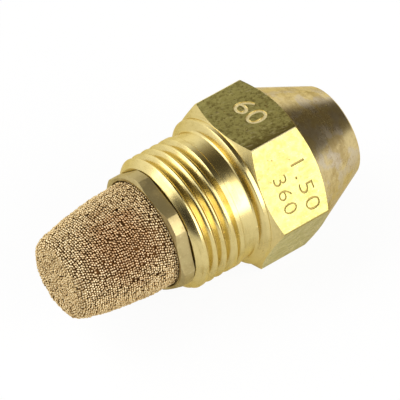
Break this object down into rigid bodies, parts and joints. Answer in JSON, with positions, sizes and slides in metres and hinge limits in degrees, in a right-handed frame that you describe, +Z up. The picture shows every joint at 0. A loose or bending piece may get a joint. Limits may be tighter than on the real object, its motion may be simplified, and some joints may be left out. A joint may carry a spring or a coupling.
{
  "type": "oil burner nozzle",
  "caption": "Brass oil burner nozzle with a hexagonal body, mounting thread, swirl insert and a screwed-in sintered bronze filter; it sprays fuel oil as a cone.",
  "frame": {"origin": "on the spray axis, at the middle of the mounting thread", "axes": "+X is the spray axis and points out of the nose, +Z is up when the nozzle lies on one flat of its hexagon, and +Y completes the right-handed set"},
  "size_m": [0.0334, 0.0184, 0.0158],
  "materials": {
    "body_brass": "turned and bright dipped",
    "disc_steel": "ground stainless",
    "distributor_steel": "ground stainless",
    "screw_brass": "turned",
    "holder_brass": "turned, dull",
    "sintered_bronze": "sintered beads, porous"
  },
  "bodies": {
    "nozzle": {"nozzle_body": "body_brass", "orifice_disc": "disc_steel"},
    "filter": {"sintered_filter": "sintered_bronze"},
    "holder": {"filter_holder": "holder_brass"},
    "distributor": {"swirl_distributor": "distributor_steel"},
    "lock_screw": {"lock_screw": "screw_brass"}
  },
  "joints": [
    {"name": "filter_travel", "type": "slide", "parent": "nozzle", "child": "filter", "axis": [-1, 0, 0], "range_m": [0, 0.0045]},
    {"name": "filter_turn", "type": "hinge", "parent": "filter", "child": "holder", "pos_m": [0, 0, 0], "axis": [-1, 0, 0], "range_deg": [0, 2160]},
    {"name": "lock_travel", "type": "slide", "parent": "nozzle", "child": "distributor", "axis": [-1, 0, 0], "range_m": [0, 0.003]},
    {"name": "lock_turn", "type": "hinge", "parent": "distributor", "child": "lock_screw", "pos_m": [0, 0, 0], "axis": [-1, 0, 0], "range_deg": [0, 1440]}
  ],
  "couplings": [
    {"joint": "filter_turn", "follows": "filter_travel", "rad_per_m": 8377.6},
    {"joint": "lock_turn", "follows": "lock_travel", "rad_per_m": 8377.6}
  ]
}
